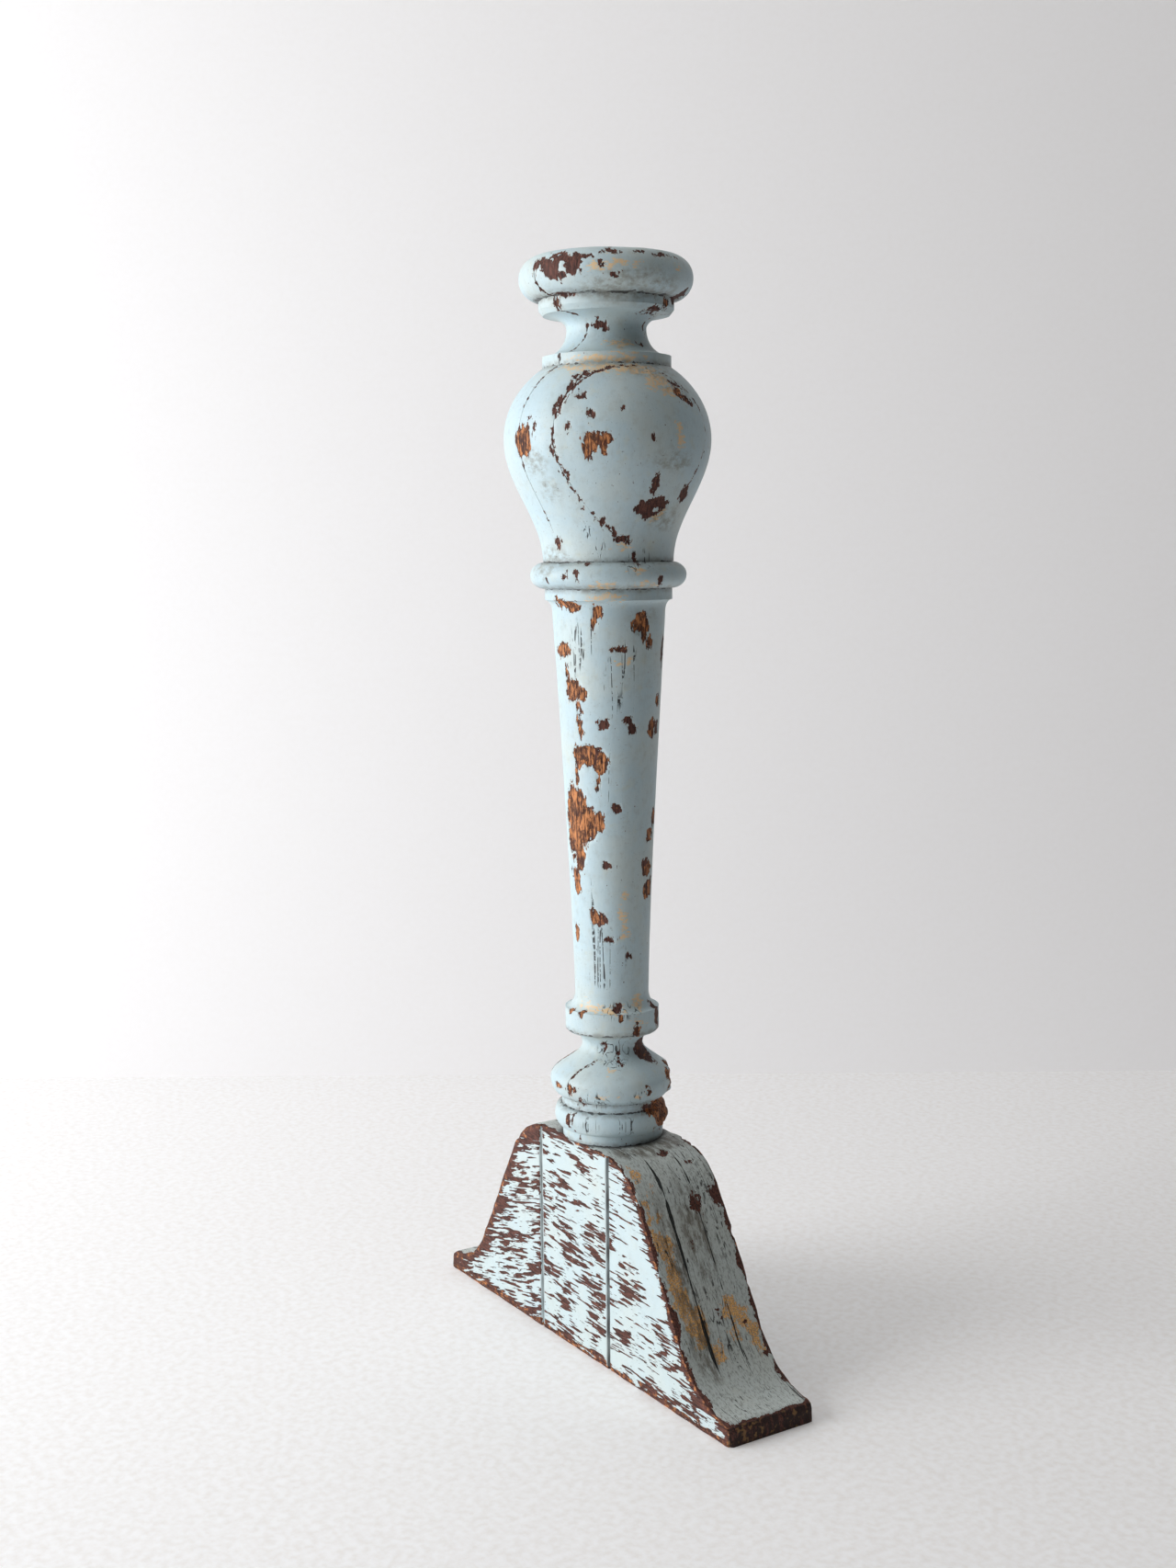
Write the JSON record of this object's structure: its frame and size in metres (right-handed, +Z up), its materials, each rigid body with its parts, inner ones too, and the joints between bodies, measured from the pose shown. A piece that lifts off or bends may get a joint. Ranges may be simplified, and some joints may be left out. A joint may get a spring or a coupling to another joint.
{
  "type": "wooden candlestick",
  "caption": "Tall turned baluster candlestick with a round cap and candle socket, on an ogee bracket base, in chipped pale blue paint.",
  "frame": {"origin": "middle of the base's underside, under the post's axis", "axes": "+Z up along the post, +X along the base's length, -Y towards the base's front face"},
  "size_m": [0.263, 0.1016, 0.546],
  "materials": {
    "post_paint": "chipped pale blue satin paint over turned wood",
    "base_paint": "flaked pale blue paint over brown stained boards"
  },
  "bodies": {
    "root": {"post_core_board": "post_paint", "post_right_board": "post_paint", "post_left_board": "post_paint", "cap_right_cheek": "post_paint", "cap_left_cheek": "post_paint", "bulb_right_cheek": "post_paint", "bulb_left_cheek": "post_paint", "ring_right_cheek": "post_paint", "ring_left_cheek": "post_paint", "base_front_board": "base_paint", "base_centre_board": "base_paint", "base_back_board": "base_paint"}
  },
  "joints": []
}
